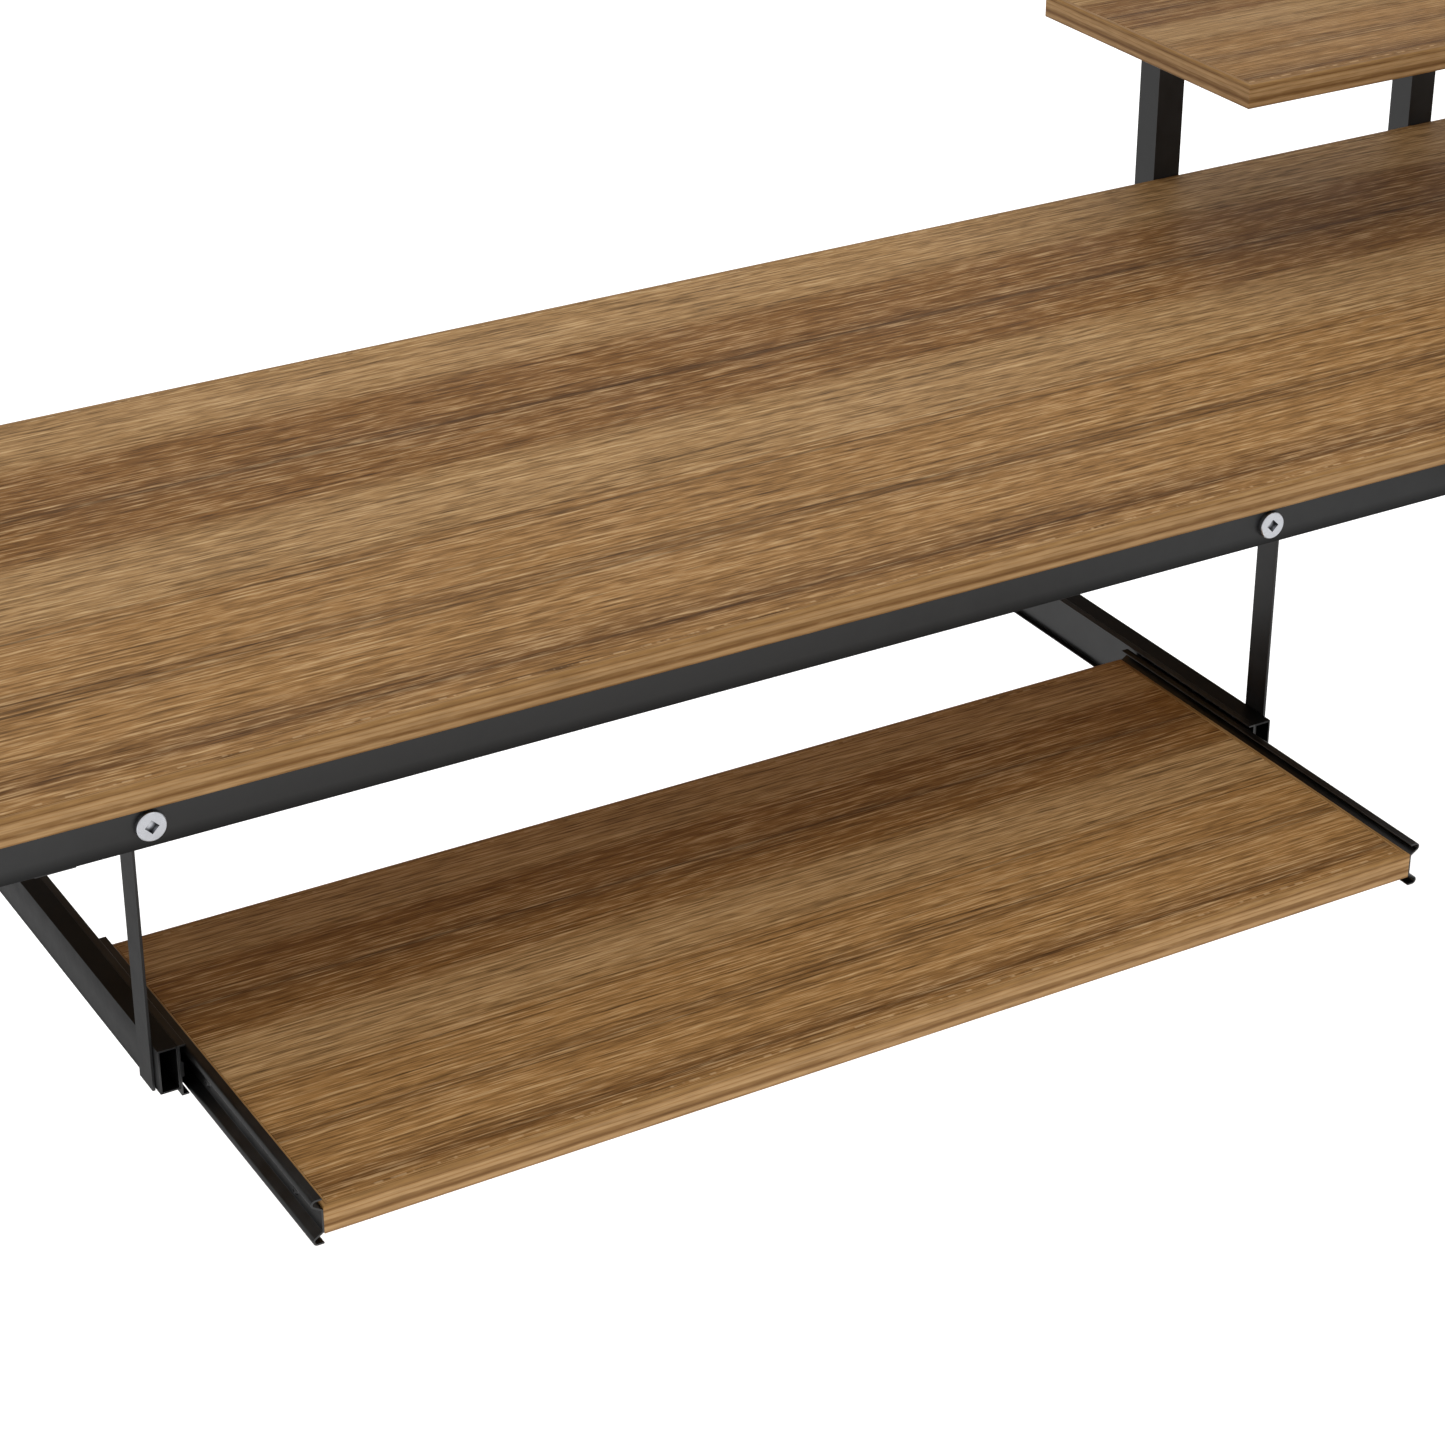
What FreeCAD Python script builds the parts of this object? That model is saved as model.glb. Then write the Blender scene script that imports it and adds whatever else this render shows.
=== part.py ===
import FreeCAD, Part
import math
import os

import Sketcher

# Corner desk: an L of laminated tops on a black steel frame, with a keyboard tray on ball
# slides under the long wing and a raised monitor shelf on two posts behind it.
# Millimetres. Origin on the floor under the middle of the whole desk, +X right along the
# long wing seen from the sitter, +Y to the back, +Z up.

Vector = FreeCAD.Vector

DRIVING = {
    # tops
    "desk_length": 1720,
    "total_depth": 1200,
    "desk_height": 750,
    "main_depth": 520,
    "wing_width": 520,
    "panel": 18,
    "band": 1,
    "overhang": 2,
    # frame
    "tube": 25,
    "tube_wall": 1.5,
    "angle_wall": 2,
    "lower_bar_height": 80,
    "glide": 8,
    "left_beam_x": -728,
    "right_beam_x": 312,
    # monitor stand
    "shelf_centre": 564,
    "shelf_length": 478,
    "shelf_depth": 258,
    "shelf_clear": 143,
    "post_spacing": 262,
    "post_bottom": 700,
    "arm_length": 165,
    # keyboard tray, pulled out
    "tray_centre": -260,
    "tray_width": 768,
    "tray_depth": 318,
    "tray_drop": 185,
    "tray_reach": 184,
    # hangers and channels, measured outwards from the side of the tray
    "hanger_width": 20,
    "hanger_wall": 2,
    "hanger_setback": 2,
    "hanger_drop": 208,
    "hanger_out": 24,
    "hanger_tab": 24,
    "rear_hanger_back": 310,
    "rear_tab": 34,
    "channel_out": 11,
    "channel_width": 13,
    "channel_height": 30,
    "channel_wall": 1.2,
    "channel_rise": 17.5,
    "channel_lead": 6,
    "slide_length": 350,
    # ball slides
    "slide_wall": 1.1,
    "fixed_height": 35,
    "fixed_flange": 5,
    "hook_out": 4.4,
    "hook_rise": 12.4,
    "hook_radius": 2.25,
    "ball": 2.8,
    "ball_out": 8.2,
    "ball_rise": 14.75,
    "ball_pitch": 15,
    "cage_length": 120,
    "cage_wall": 0.7,
    "cage_rise": 15.9,
    "buffer_length": 8,
    # fasteners
    "wood_screw": 4,
    "bolt": 6,
    "bolt_head": 18.5,
    "bolt_head_height": 4,
    "bolt_socket": 6.4,
    "rivet": 3.2,
}

# rows of balls, and the small features of the pressed slide members
BALLS_PER_ROW = 8
BALL_PLAY = 0.1
CAGE_START = 6
WEB_RISE = 7.2
HOOK_TIP_OUT = 0.8
LUG_RISE = 5
LUG_LENGTH = 1.5
LUG_OUT = 2
REAR_TAB_OUT = 8
RIVET_INSET = 40
TRAY_SCREW_INSET = 35
BUFFER_HALF = 4.1
BUFFER_INSET = 15.5

# where the screws and bolts go
BAR_SCREW_INSET = 130
PANEL_SCREW_DEPTH = 12
TRAY_SCREW_LENGTH = 18
FRONT_SCREW_REACH = 800
SCREW_LINE = 15
INNER_SCREW_ENDS = (-520, -40)
RETURN_SCREW_ENDS = (-450, -150)
BRACKET_ENDS = (480, 720)
BOLT_RISE = 2
BOLT_INBOARD = 10.5
ARM_SCREW_YS = (40, 130)
HANGER_SCREW_OUTS = (0, 14)

# fasteners: (head radius, head height) of each kind, and lengths under the head
FRAME_BOLT_HEAD = (5, 3)
FRAME_BOLT_LENGTH = 8
FRAME_BOLT_SOCKET = 3
HANGER_BOLT_LENGTH = 12
BOLT_EDGE = 0.5
SCREW_HEAD = (4, 2)
TRAY_SCREW_HEAD = (3.5, 1.6)
RECESS_HALF = 0.4
NUT_CORNER = 5.77
NUT_HEIGHT = 5
RIVET_HEAD = (2.6, 0.7)
RIVET_CROWN = 1.8
RIVET_TAIL = (2.4, 0.8)

# plastic feet, tube plugs, brackets and rubber buffers
PLUG_PLAY = 0.1
GLIDE_STEP = 1
GLIDE_PLUG = 20
PLUG_COVER = 2
PLUG_LENGTH = 12
BRACKET_HALF = 20
BUFFER_RISE = 8

UP, DOWN = (0, 0, 1), (0, 0, -1)
FRONTWARDS, BACKWARDS = (0, -1, 0), (0, 1, 0)
LEFTWARDS, RIGHTWARDS = (-1, 0, 0), (1, 0, 0)
PLANES = {"x": ("YZ_Plane", 1), "y": ("XZ_Plane", -1), "z": ("XY_Plane", 1)}
LEFT, RIGHT = -1, 1

doc = FreeCAD.newDocument("corner_desk")
sheet = doc.addObject("Spreadsheet::Sheet", "Sizes")
for row, (alias, number) in enumerate(DRIVING.items(), start=1):
    sheet.set(f"A{row}", alias)
    sheet.set(f"B{row}", str(number))
    sheet.setAlias(f"B{row}", alias)
doc.recompute()

parts = []


# ---------------------------------------------------------------- sizes and bindings

class Size:
    """A length that carries its value and the spreadsheet expression it follows."""

    def __init__(self, text, value):
        self.text = text
        self.value = value

    def __add__(self, other):
        other = size(other)
        return Size(f"({self.text} + {other.text})", self.value + other.value)

    def __sub__(self, other):
        other = size(other)
        return Size(f"({self.text} - {other.text})", self.value - other.value)

    def __mul__(self, factor):
        return Size(f"({self.text} * {factor!r})", self.value * factor)

    def __truediv__(self, factor):
        return Size(f"({self.text} / {factor!r})", self.value / factor)

    def __neg__(self):
        return self * -1


def size(number):
    return number if isinstance(number, Size) else Size(f"({float(number)!r})", float(number))


class Sheet:
    """The spreadsheet's cells as sizes, one attribute for each alias."""

    def __getattr__(self, alias):
        return Size(f"Sizes.{alias}", float(sheet.get(alias)))


dim = Sheet()


def bind(thing, name, value):
    thing.setExpression(name, size(value).text)


def vector(x, y, z):
    return Vector(size(x).value, size(y).value, size(z).value)


# ---------------------------------------------------------------- bodies

def new_body(label, origin=(0, 0, 0), kept=True):
    body = doc.addObject("PartDesign::Body", label)
    body.Label = label
    for letter, value in zip("xyz", origin):
        bind(body, f"Placement.Base.{letter}", value)
    if kept:
        parts.append(body)
    return body


def pin(sketch, line, point, x, y):
    """Hold one sketch point at bound distances from the sketch's origin."""
    for kind, value in (("DistanceX", size(x)), ("DistanceY", size(y))):
        index = sketch.addConstraint(Sketcher.Constraint(kind, -1, 1, line, point, value.value))
        bind(sketch, f"Constraints[{index}]", value)


def draw_polygon(sketch, corners):
    ends = corners[1:] + corners[:1]
    lines = [sketch.addGeometry(Part.LineSegment(vector(*a, 0), vector(*b, 0)))
             for a, b in zip(corners, ends)]
    for line, after, corner in zip(lines, lines[1:] + lines[:1], corners):
        sketch.addConstraint(Sketcher.Constraint("Coincident", line, 2, after, 1))
        pin(sketch, line, 1, *corner)


def draw_disc(sketch, x, y, radius):
    centre = vector(x, y, 0)
    ring = sketch.addGeometry(Part.Circle(centre, Vector(0, 0, 1), size(radius).value))
    pin(sketch, ring, 3, x, y)
    index = sketch.addConstraint(Sketcher.Constraint("Radius", ring, size(radius).value))
    bind(sketch, f"Constraints[{index}]", radius)


def new_sketch(body, role, offset, polygons=(), discs=()):
    sketch = body.newObject("Sketcher::SketchObject", f"{body.Name}_sketch")
    plane = next(item for item in body.Origin.OriginFeatures if item.Role == role)
    sketch.AttachmentSupport = (plane, [""])
    sketch.MapMode = "FlatFace"
    bind(sketch, "AttachmentOffset.Base.z", offset)
    for corners in polygons:
        draw_polygon(sketch, list(corners))
    for disc in discs:
        draw_disc(sketch, *disc)
    return sketch


def layer(body, kind, axis, low, high, polygons=(), discs=()):
    """Pad or pocket an outline between two heights along an axis of the body."""
    role, sense = PLANES[axis]
    starts_low = (kind == "Pad") == (sense > 0)
    start = size(low if starts_low else high)
    sketch = new_sketch(body, role, start * sense, polygons, discs)
    feature = body.newObject(f"PartDesign::{kind}", f"{body.Name}_{kind.lower()}")
    feature.Profile = sketch
    bind(feature, "Length", size(high) - low)
    sketch.Visibility = False
    return feature


def turned(label, outline):
    """A body of revolution about its own Z axis, from an outline of radius and height."""
    body = new_body(label, kept=False)
    sketch = new_sketch(body, "XZ_Plane", 0, [outline])
    feature = body.newObject("PartDesign::Revolution", f"{label}_turn")
    feature.Profile = sketch
    feature.ReferenceAxis = (sketch, ["V_Axis"])
    feature.Angle = 360
    return body


def box_outline(x0, y0, x1, y1):
    return [(x0, y0), (x1, y0), (x1, y1), (x0, y1)]


def block(label, low, high, kept=True):
    """A rectangular body between two opposite corners."""
    span = [size(b) - a for a, b in zip(low, high)]
    body = new_body(label, low, kept)
    layer(body, "Pad", "z", 0, span[2], [box_outline(0, 0, span[0], span[1])])
    return body


def drill(body, low, axis, start, end, places, radius):
    """Round holes along an axis, at places given in the whole desk's coordinates."""
    keep = ["xyz".index(letter) for letter in "xyz" if letter != axis]
    along = low["xyz".index(axis)]
    discs = [(size(p[0]) - low[keep[0]], size(p[1]) - low[keep[1]], radius) for p in places]
    layer(body, "Pocket", axis, size(start) - along, size(end) - along, discs=discs)


def square_tube(label, axis, low, length):
    """A hollow square tube that runs along an axis from its lowest corner."""
    body = new_body(label, low)
    inner = dim.tube - dim.tube_wall
    rings = [box_outline(0, 0, dim.tube, dim.tube),
             box_outline(dim.tube_wall, dim.tube_wall, inner, inner)]
    layer(body, "Pad", axis, 0, length, rings)
    return body


def group(label, prototype, places):
    """Copies of one small piece, kept as separate solids of one node."""
    copies = []
    for base, facing in places:
        copy = prototype.Shape.copy()
        turn = FreeCAD.Rotation(Vector(0, 0, 1), Vector(*facing))
        copy.Placement = FreeCAD.Placement(vector(*base), turn)
        copies.append(copy)
    node = doc.addObject("Part::Feature", label)
    node.Label = label
    node.Shape = Part.makeCompound(copies)
    node.Placement = FreeCAD.Placement()
    parts.append(node)


def spread(low, high, count):
    step = (size(high) - low) / (count - 1)
    return [size(low) + step * i for i in range(count)]


# ---------------------------------------------------------------- reference positions

left_edge = -dim.desk_length / 2
right_edge = dim.desk_length / 2
front_edge = -dim.total_depth / 2
rear_edge = dim.total_depth / 2 - dim.tube
seam = rear_edge - dim.main_depth
rail_face = seam + dim.overhang
wing_edge = right_edge - dim.wing_width

top = dim.desk_height
underside = top - dim.panel
rail_bottom = underside - dim.tube
flange_bottom = underside - dim.angle_wall
bolt_height = underside - dim.tube / 2 + BOLT_RISE

frame_left = left_edge + dim.overhang
frame_right = right_edge - dim.overhang
frame_front = front_edge + dim.overhang
leg_front = rail_face + dim.angle_wall
leg_rear = rear_edge - dim.angle_wall
inner_wall = wing_edge + dim.overhang
inner_leg = inner_wall + dim.angle_wall
half_tube = dim.tube / 2

tray_front = rail_face - dim.tray_reach
tray_rear = tray_front + dim.tray_depth
tray_top = top - dim.tray_drop
tray_middle = tray_top - dim.panel / 2
slide_front = rail_face - dim.channel_lead
slide_rear = slide_front + dim.slide_length

shelf_bottom = top + dim.shelf_clear
arm_bottom = shelf_bottom - dim.tube
post_centres = [dim.shelf_centre + dim.post_spacing / 2 * side for side in (LEFT, RIGHT)]

rail_screw_xs = spread(-FRONT_SCREW_REACH, FRONT_SCREW_REACH, 6)
front_screws = [(x, rail_face + SCREW_LINE) for x in rail_screw_xs]
rear_screws = [(x, rear_edge - SCREW_LINE) for x in rail_screw_xs]
inner_screws = [(inner_wall + SCREW_LINE, y) for y in spread(*INNER_SCREW_ENDS, 4)]
side_ys = [leg_front + BAR_SCREW_INSET, leg_rear - BAR_SCREW_INSET]
left_bar_screws = [(frame_left + half_tube, y) for y in side_ys]
right_bar_screws = [(frame_right - half_tube, y) for y in side_ys]
return_side_screws = [(frame_right - half_tube, y) for y in spread(*RETURN_SCREW_ENDS, 2)]
bracket_xs = spread(*BRACKET_ENDS, 2)
return_front_screws = [(x, frame_front + half_tube) for x in bracket_xs]
bracket_screws = [(x, seam - SCREW_LINE) for x in bracket_xs]
arm_screws = [(x, rear_edge - y) for x in post_centres for y in ARM_SCREW_YS]


def tray_x(side, out):
    """The X of a point a given distance outwards from the tray's side edge."""
    return dim.tray_centre + (dim.tray_width / 2 + out) * side


rear_hanger_middle = rail_face + dim.rear_hanger_back + dim.hanger_width / 2
hanger_screws = [(tray_x(side, out), rear_hanger_middle)
                 for side in (LEFT, RIGHT) for out in HANGER_SCREW_OUTS]
hanger_bolt_out = dim.hanger_out + dim.hanger_wall / 2 - BOLT_INBOARD
hanger_bolt_xs = [tray_x(side, hanger_bolt_out) for side in (LEFT, RIGHT)]
rivet_ys = spread(slide_front + RIVET_INSET, slide_rear - RIVET_INSET, 2)
rivet_places = [(y, tray_middle) for y in rivet_ys]
tray_screw_ys = spread(tray_front + TRAY_SCREW_INSET, tray_rear - TRAY_SCREW_INSET, 3)


# ---------------------------------------------------------------- tops

def laminated_top(label, low, high, holes=()):
    """A laminated board with a thin band glued round its edge, and blind screw holes."""
    core_low = (size(low[0]) + dim.band, size(low[1]) + dim.band, low[2])
    core_high = (size(high[0]) - dim.band, size(high[1]) - dim.band, high[2])
    core = block(label, core_low, core_high)
    if holes:
        start = size(low[2])
        drill(core, core_low, "z", start, start + PANEL_SCREW_DEPTH, holes, dim.wood_screw / 2)
    band = new_body(f"{label}_edge", low)
    span_x = size(high[0]) - low[0]
    span_y = size(high[1]) - low[1]
    rings = [box_outline(0, 0, span_x, span_y),
             box_outline(dim.band, dim.band, span_x - dim.band, span_y - dim.band)]
    layer(band, "Pad", "z", 0, dim.panel, rings)
    return core, core_low, band


def make_tops():
    main_holes = front_screws + rear_screws + left_bar_screws + right_bar_screws + hanger_screws
    laminated_top("main_top", (left_edge, seam, underside), (right_edge, rear_edge, top), main_holes)
    return_holes = inner_screws + return_side_screws + return_front_screws + bracket_screws
    laminated_top("return_top", (wing_edge, front_edge, underside), (right_edge, seam, top), return_holes)
    half = dim.shelf_length / 2
    shelf_low = (dim.shelf_centre - half, rear_edge + dim.tube - dim.shelf_depth, shelf_bottom)
    shelf_high = (dim.shelf_centre + half, rear_edge + dim.tube, shelf_bottom + dim.panel)
    laminated_top("monitor_shelf", shelf_low, shelf_high, arm_screws)


def make_tray():
    low = (tray_x(LEFT, 0), tray_front, tray_top - dim.panel)
    high = (tray_x(RIGHT, 0), tray_rear, tray_top)
    core, core_low, band = laminated_top("keyboard_tray", low, high)
    places = [(y, tray_middle) for y in tray_screw_ys]
    reach = TRAY_SCREW_LENGTH
    for body, corner in ((core, core_low), (band, low)):
        drill(body, corner, "x", low[0], low[0] + reach, places, dim.wood_screw / 2)
        drill(body, corner, "x", high[0] - reach, high[0], places, dim.wood_screw / 2)


# ---------------------------------------------------------------- steel frame

def angle_outline(wall_first):
    """An L section: a wall of full height and a flange at the top, in local coordinates."""
    wall, full = dim.angle_wall, dim.tube
    if wall_first:
        return [(0, 0), (wall, 0), (wall, full - wall), (full, full - wall), (full, full), (0, full)]
    return [(full - wall, 0), (full, 0), (full, full), (0, full), (0, full - wall),
            (full - wall, full - wall)]


def long_rail(label, face_y, wall_first, screws, bolt_xs):
    low_y = face_y if wall_first else face_y - dim.tube
    low = (frame_left, low_y, rail_bottom)
    body = new_body(label, low)
    layer(body, "Pad", "x", 0, frame_right - frame_left, [angle_outline(wall_first)])
    drill(body, low, "z", flange_bottom, underside, screws, dim.wood_screw / 2)
    wall_start = face_y if wall_first else face_y - dim.angle_wall
    wall_end = face_y + dim.angle_wall if wall_first else face_y
    places = [(x, bolt_height) for x in bolt_xs]
    drill(body, low, "y", wall_start, wall_end, places, dim.bolt / 2)


def make_rails():
    left_bolt = frame_left + half_tube
    right_bolt = frame_right - half_tube
    front_bolts = [left_bolt] + bracket_xs + hanger_bolt_xs
    long_rail("front_rail", rail_face, True, front_screws, front_bolts)
    rear_bolts = [left_bolt, right_bolt] + post_centres
    long_rail("rear_rail", rear_edge, False, rear_screws, rear_bolts)

    low = (inner_wall, frame_front, rail_bottom)
    body = new_body("return_inner_rail", low)
    layer(body, "Pad", "y", 0, rail_face - frame_front, [angle_outline(True)])
    drill(body, low, "z", flange_bottom, underside, inner_screws, dim.wood_screw / 2)
    bolt_place = [(frame_front + half_tube, bolt_height)]
    drill(body, low, "x", inner_wall, inner_leg, bolt_place, dim.bolt / 2)


def leg(label, x, y, leg_top, bolt_axis=None, outer=None):
    """An upright tube, with a bolt hole through one wall where a rail is bolted to it."""
    low = (x, y, dim.glide)
    body = square_tube(label, "z", low, size(leg_top) - dim.glide)
    if bolt_axis:
        across = y if bolt_axis == "x" else x
        start = size(outer)
        place = [(size(across) + half_tube, bolt_height)]
        drill(body, low, bolt_axis, start, start + dim.tube_wall, place, dim.bolt / 2)


def make_legs():
    rear_y = leg_rear - dim.tube
    right_x = frame_right - dim.tube
    rear_wall = leg_rear - dim.tube_wall
    leg("left_front_leg", frame_left, leg_front, flange_bottom, "y", leg_front)
    leg("left_rear_leg", frame_left, rear_y, flange_bottom, "y", rear_wall)
    leg("corner_leg", right_x, rear_y, flange_bottom, "y", rear_wall)
    leg("right_middle_leg", right_x, leg_front, flange_bottom)
    leg("return_outer_leg", right_x, frame_front, underside)
    leg("return_inner_leg", inner_leg, frame_front, flange_bottom, "x", inner_leg)


def bar(label, axis, low, length, screws=()):
    """A level tube between two legs, drilled through for the long screws of a top."""
    body = square_tube(label, axis, low, length)
    if screws:
        start = size(low[2])
        drill(body, low, "z", start, start + dim.tube, screws, dim.wood_screw / 2)


def make_bars():
    right_x = frame_right - dim.tube
    side_start = leg_front + dim.tube
    side_length = leg_rear - dim.tube - side_start
    return_start = frame_front + dim.tube
    cross_start = inner_leg + dim.tube
    cross_length = right_x - cross_start
    low_z = dim.lower_bar_height
    bar("left_top_bar", "y", (frame_left, side_start, rail_bottom), side_length, left_bar_screws)
    bar("right_top_bar", "y", (right_x, side_start, rail_bottom), side_length, right_bar_screws)
    bar("return_side_bar", "y", (right_x, return_start, rail_bottom), rail_face - return_start,
        return_side_screws)
    bar("return_front_bar", "x", (cross_start, frame_front, rail_bottom), cross_length,
        return_front_screws)
    bar("left_lower_bar", "y", (frame_left, side_start, low_z), side_length)
    bar("right_lower_bar", "y", (right_x, side_start, low_z), side_length)
    bar("return_lower_bar", "x", (cross_start, frame_front, low_z), cross_length)
    beam_z = flange_bottom - dim.tube
    beam_length = leg_rear - leg_front
    bar("left_beam", "y", (dim.left_beam_x, leg_front, beam_z), beam_length)
    bar("right_beam", "y", (dim.right_beam_x, leg_front, beam_z), beam_length)
    bar("return_beam", "x", (inner_leg, (front_edge + seam) / 2, beam_z), right_x - inner_leg)


def make_stand():
    for side_name, centre in zip(("left", "right"), post_centres):
        low = (centre - half_tube, rear_edge, dim.post_bottom)
        post = square_tube(f"{side_name}_post", "z", low, shelf_bottom - dim.post_bottom)
        place = [(centre, bolt_height)]
        drill(post, low, "y", rear_edge, rear_edge + dim.tube_wall, place, dim.bolt / 2)
        arm_low = (centre - half_tube, rear_edge - dim.arm_length, arm_bottom)
        screws = [place for place in arm_screws if place[0].value == centre.value]
        bar(f"{side_name}_shelf_arm", "y", arm_low, dim.arm_length, screws)


# ---------------------------------------------------------------- hangers and channels

def sided(side, near, far):
    """Two distances outwards from the tray's side, as X values in rising order."""
    ends = [tray_x(side, near), tray_x(side, far)]
    return sorted(ends, key=lambda end: end.value)


def hanger(label, side, front, tab_reach, tab_low, tab_high):
    """A flat bar with a tab at its top that points to the middle of the tray."""
    outer = dim.hanger_out + dim.hanger_wall
    x0, x1 = sided(side, dim.hanger_out, outer)
    low = (x0, front, top - dim.hanger_drop)
    strip_top = tab_high[1]
    body = new_body(label, low)
    layer(body, "Pad", "z", 0, strip_top - low[2], [box_outline(0, 0, x1 - x0, dim.hanger_width)])
    t0, t1 = sided(side, outer - tab_reach, outer)
    tab = box_outline(t0 - x0, tab_low[0] - front, t1 - x0, tab_high[0] - front)
    layer(body, "Pad", "z", tab_low[1] - low[2], tab_high[1] - low[2], [tab])
    return body, low


def make_hangers():
    for name, side, bolt_x in (("left", LEFT, hanger_bolt_xs[0]), ("right", RIGHT, hanger_bolt_xs[1])):
        front = rail_face + dim.hanger_setback
        tab_low = (front, rail_bottom)
        tab_high = (front + dim.hanger_wall, flange_bottom)
        body, low = hanger(f"{name}_front_hanger", side, front, dim.hanger_tab, tab_low, tab_high)
        place = [(bolt_x, bolt_height)]
        drill(body, low, "y", front, front + dim.hanger_wall, place, dim.bolt / 2)

        back = rail_face + dim.rear_hanger_back
        tab_low = (back, underside - dim.hanger_wall)
        tab_high = (back + dim.hanger_width, underside)
        body, low = hanger(f"{name}_rear_hanger", side, back, dim.rear_tab, tab_low, tab_high)
        screws = [place for place in hanger_screws if (place[0].value > dim.tray_centre.value) == (side > 0)]
        drill(body, low, "z", tab_low[1], underside, screws, dim.wood_screw / 2)


def make_channels():
    wall = dim.channel_wall
    high = tray_middle + dim.channel_rise
    for name, side in (("left", LEFT), ("right", RIGHT)):
        x0, x1 = sided(side, dim.channel_out, dim.channel_out + dim.channel_width)
        low = (x0, slide_front, high - dim.channel_height)
        body = new_body(f"{name}_channel", low)
        rings = [box_outline(0, 0, x1 - x0, dim.channel_height),
                 box_outline(wall, wall, x1 - x0 - wall, dim.channel_height - wall)]
        layer(body, "Pad", "y", 0, dim.slide_length, rings)
        start, end = sided(side, dim.channel_out, dim.channel_out + wall)
        drill(body, low, "x", start, end, rivet_places, dim.rivet / 2)


# ---------------------------------------------------------------- ball slides

def rolled(edges, wall):
    """A closed outline of constant wall around a chain of edges in the XZ plane."""
    outline = Part.Wire(edges).makeOffset2D(wall / 2, 0, False, False, True)
    return Part.Face(outline)


def section_point(side, out, rise):
    return Vector(tray_x(side, out).value, 0, tray_middle.value + rise)


def section_line(side, first, second):
    return Part.LineSegment(section_point(side, *first), section_point(side, *second)).toShape()


def section_arc(side, centre, radius, angles):
    """An arc through three angles, in degrees from outwards towards up."""
    points = []
    for angle in angles:
        turn = math.radians(angle)
        out = centre[0] + radius * math.cos(turn)
        points.append(section_point(side, out, centre[1] + radius * math.sin(turn)))
    return Part.Arc(*points).toShape()


def slide_node(label, face, start, end, extras=(), holes=()):
    """A rolled slide member: its section run along Y, with lugs added and holes cut."""
    shape = face.extrude(Vector(0, (end - start).value, 0))
    shape.translate(Vector(0, start.value, 0))
    for extra in extras:
        shape = shape.fuse(extra)
    for hole in holes:
        shape = shape.cut(hole)
    node = doc.addObject("Part::Feature", label)
    node.Label = label
    node.Shape = shape.removeSplitter()
    node.Placement = FreeCAD.Placement()
    parts.append(node)
    return node


def lug(side, near, far, rise, start, length):
    x0, x1 = sided(side, near, far)
    corner = Vector(x0.value, size(start).value, tray_middle.value - rise)
    return Part.makeBox(x1.value - x0.value, length, 2 * rise, corner)


def side_hole(side, near, far, y, radius):
    x0, x1 = sided(side, near, far)
    base = Vector(x0.value, size(y).value, tray_middle.value)
    return Part.makeCylinder(radius, x1.value - x0.value, base, Vector(1, 0, 0))


def tray_slide_section(side):
    """The section of the tray's slide member: a web against the tray whose upper and lower
    edges jog outwards and curl back in a round bead."""
    wall = dim.slide_wall.value
    radius = dim.hook_radius.value
    centre = (dim.hook_out.value, dim.hook_rise.value)
    web = wall / 2
    knee = WEB_RISE
    reach = math.hypot(centre[0] - web, centre[1] - knee)
    slope = math.atan2(centre[1] - knee, centre[0] - web) - math.asin(radius / reach)
    run = math.sqrt(reach ** 2 - radius ** 2)
    touch = (web + run * math.cos(slope), knee + run * math.sin(slope))
    start_angle = math.degrees(slope) - 90
    crown = (centre[0], centre[1] + radius)
    tip = (HOOK_TIP_OUT, centre[1] + radius)
    upper = [section_line(side, (web, knee), touch),
             section_arc(side, centre, radius, (start_angle, 20, 90)),
             section_line(side, crown, tip)]
    lower = [edge.mirror(section_point(side, 0, 0), Vector(0, 0, 1)) for edge in upper]
    return Part.__sortEdges__(upper + lower + [section_line(side, (web, -knee), (web, knee))])


def fixed_slide_section(side):
    wall = dim.slide_wall.value
    web = dim.channel_out.value - wall / 2
    rise = dim.fixed_height.value / 2 - wall / 2
    flange = dim.channel_out.value - dim.fixed_flange.value + wall / 2
    return [section_line(side, (flange, rise), (web, rise)),
            section_line(side, (web, rise), (web, -rise)),
            section_line(side, (web, -rise), (flange, -rise))]


def make_slides():
    wall = dim.slide_wall.value
    rivet_radius = dim.rivet.value / 2
    screw_radius = dim.wood_screw.value / 2
    out = dim.channel_out.value
    for name, side in (("left", LEFT), ("right", RIGHT)):
        fixed = rolled(fixed_slide_section(side), wall)
        front_lug = lug(side, out - wall - LUG_OUT, out - wall, LUG_RISE, slide_front + 1, LUG_LENGTH)
        holes = [side_hole(side, out - wall, out, y, rivet_radius) for y in rivet_ys]
        slide_node(f"{name}_fixed_slide", fixed, slide_front, slide_rear, [front_lug], holes)

        moving = rolled(tray_slide_section(side), wall)
        rear_tab = lug(side, wall / 2, REAR_TAB_OUT, LUG_RISE, tray_rear - wall, wall)
        holes = [side_hole(side, 0, wall, y, screw_radius) for y in tray_screw_ys]
        slide_node(f"{name}_tray_slide", moving, tray_front, tray_rear, [rear_tab], holes)

        make_cage(name, side)


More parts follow.
